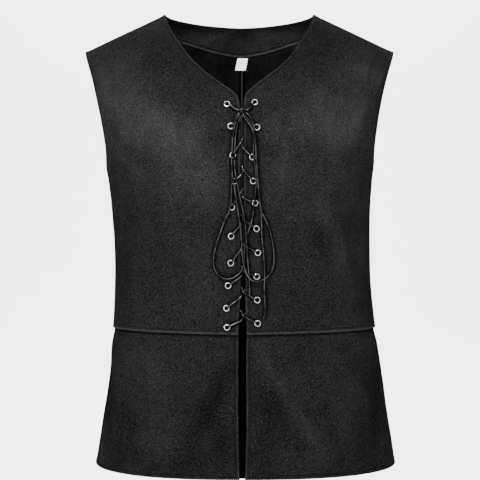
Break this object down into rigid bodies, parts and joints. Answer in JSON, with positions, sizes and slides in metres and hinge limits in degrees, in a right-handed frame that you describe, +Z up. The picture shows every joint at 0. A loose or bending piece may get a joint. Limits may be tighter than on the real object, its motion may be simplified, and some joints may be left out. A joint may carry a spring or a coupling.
{
  "type": "medieval lace-up vest, filled out as worn",
  "caption": "Sleeveless hip-length vest of dark faux suede with a V neck, a flared peplum and a front laced through metal eyelets, hollow as worn.",
  "frame": {"origin": "midway between the two shoulders, level with the middle of the shoulder seams, where the wearer holds the vest up", "axes": "+X to the viewer's right as seen from the front, +Y towards the back (the laced front faces -Y), +Z up"},
  "size_m": [0.4772, 0.2602, 0.7465],
  "materials": {
    "suede": "napped charcoal faux suede",
    "facing": "charcoal faux suede, inner side of the back neck",
    "eyelet": "nickel-plated, satin",
    "lace": "smooth round black lace",
    "label": "plain white woven tape, bare"
  },
  "bodies": {
    "root": {"front_left": "suede", "front_right": "suede", "back_left": "suede", "back_right": "suede", "peplum_front_left": "suede", "peplum_front_right": "suede", "peplum_back_left": "suede", "peplum_back_right": "suede", "back_neck_facing": "facing", "label": "label", "eyelet_left_01": "eyelet", "eyelet_left_02": "eyelet", "eyelet_left_03": "eyelet", "eyelet_left_04": "eyelet", "eyelet_left_05": "eyelet", "eyelet_left_06": "eyelet", "eyelet_left_07": "eyelet", "eyelet_left_08": "eyelet", "eyelet_left_09": "eyelet", "eyelet_left_10": "eyelet", "eyelet_right_01": "eyelet", "eyelet_right_02": "eyelet", "eyelet_right_03": "eyelet", "eyelet_right_04": "eyelet", "eyelet_right_05": "eyelet", "eyelet_right_06": "eyelet", "eyelet_right_07": "eyelet", "eyelet_right_08": "eyelet", "eyelet_right_09": "eyelet", "eyelet_right_10": "eyelet", "lacing_left": "lace", "lacing_right": "lace", "bow_knot": "lace", "bow_loop_left": "lace", "bow_loop_right": "lace", "bow_tail_left": "lace", "bow_tail_right": "lace"}
  },
  "joints": []
}
